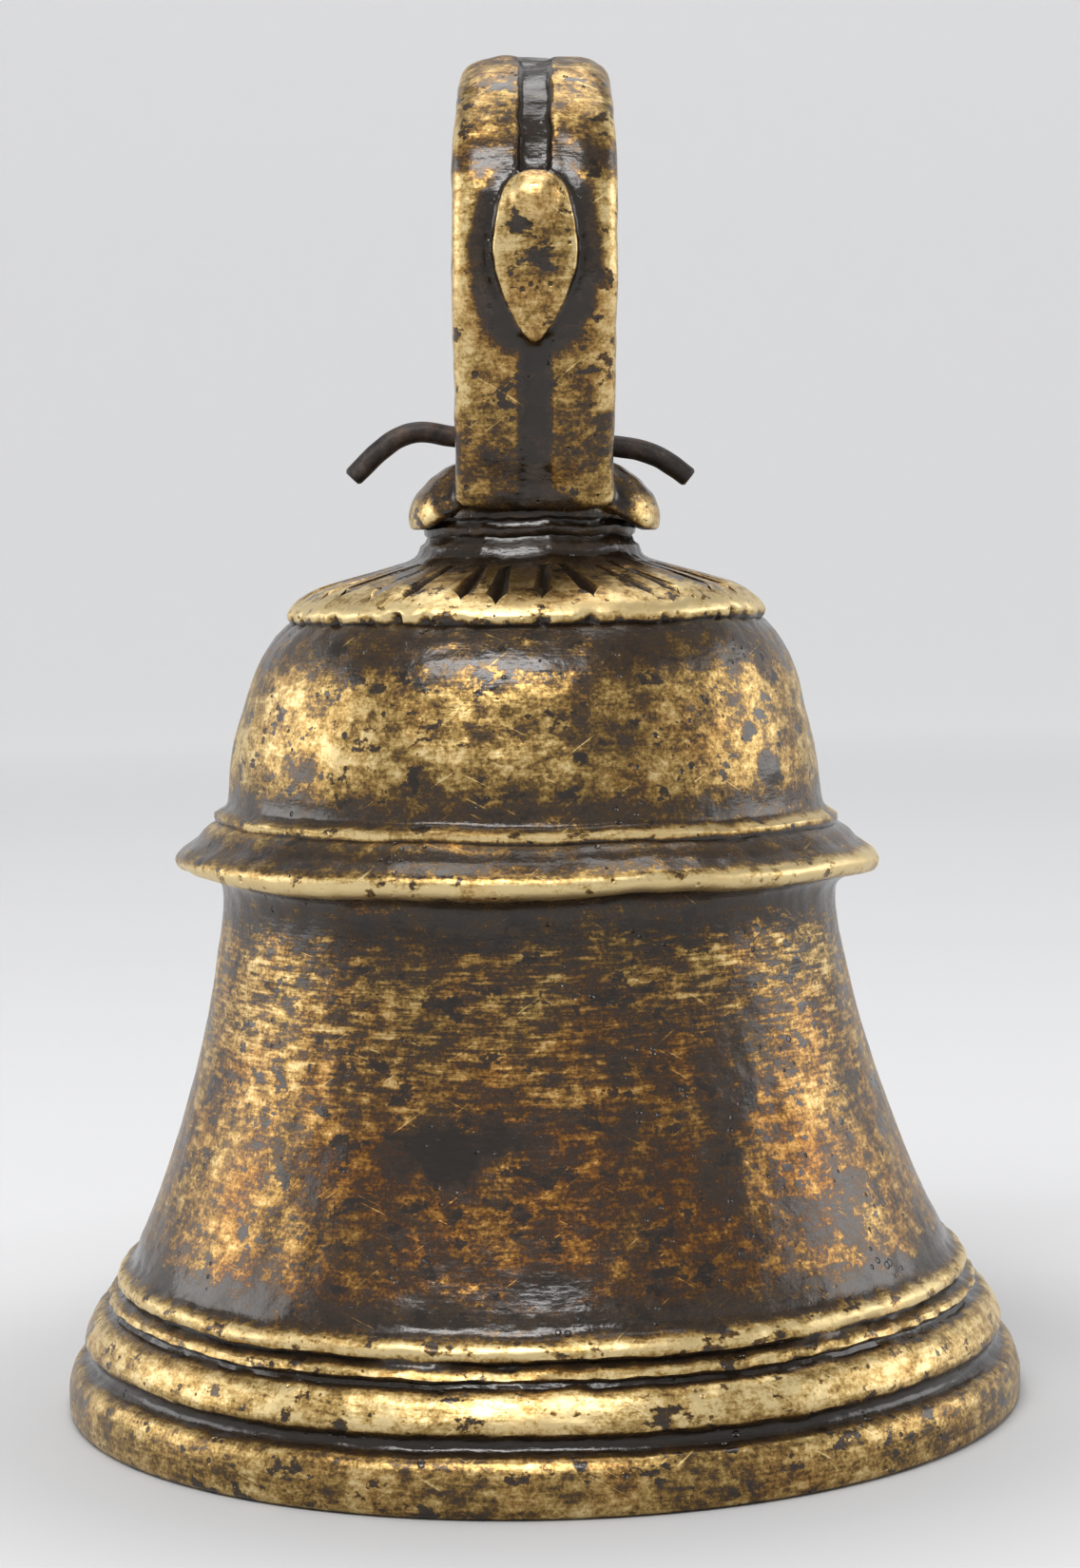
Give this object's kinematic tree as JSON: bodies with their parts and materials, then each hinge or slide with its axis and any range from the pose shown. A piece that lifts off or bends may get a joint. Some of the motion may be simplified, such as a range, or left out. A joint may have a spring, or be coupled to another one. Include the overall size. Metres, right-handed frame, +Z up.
{
  "type": "temple bell",
  "caption": "Small flared bell with a waist bead, notched shoulder and hanging loop; a clapper hangs inside from a doubled wire through its crown.",
  "frame": {"origin": "centre of the rim, on the surface that the bell stands on", "axes": "+Z up along the bell's axis; the front, with the visible boss, faces -Y; the loop's opening runs along X"},
  "size_m": [0.09, 0.09, 0.1251],
  "materials": {
    "cast_brass": "worn, with dark patina in the hollows",
    "wrought_iron": "dark, slightly rusted",
    "old_brass": "dull, tarnished"
  },
  "bodies": {
    "bell": {"bell_body": "cast_brass", "hanging_loop": "cast_brass"},
    "hanger": {"clapper_staple": "wrought_iron"},
    "link": {"clapper_link": "wrought_iron"},
    "clapper": {"clapper_rod": "wrought_iron", "clapper_bob": "old_brass"}
  },
  "joints": [
    {"name": "hanger_twist", "type": "hinge", "parent": "bell", "child": "hanger", "pos_m": [0, 0, 0.08], "axis": [0, 0, 1], "range_deg": [-24, 24]},
    {"name": "link_swing", "type": "hinge", "parent": "hanger", "child": "link", "pos_m": [0, 0, 0.06511], "axis": [1, 0, 0], "range_deg": [-20.5, 20.5]},
    {"name": "clapper_swing", "type": "hinge", "parent": "link", "child": "clapper", "pos_m": [0, 0, 0.05771], "axis": [0, 1, 0], "range_deg": [-20.5, 20.5]}
  ]
}
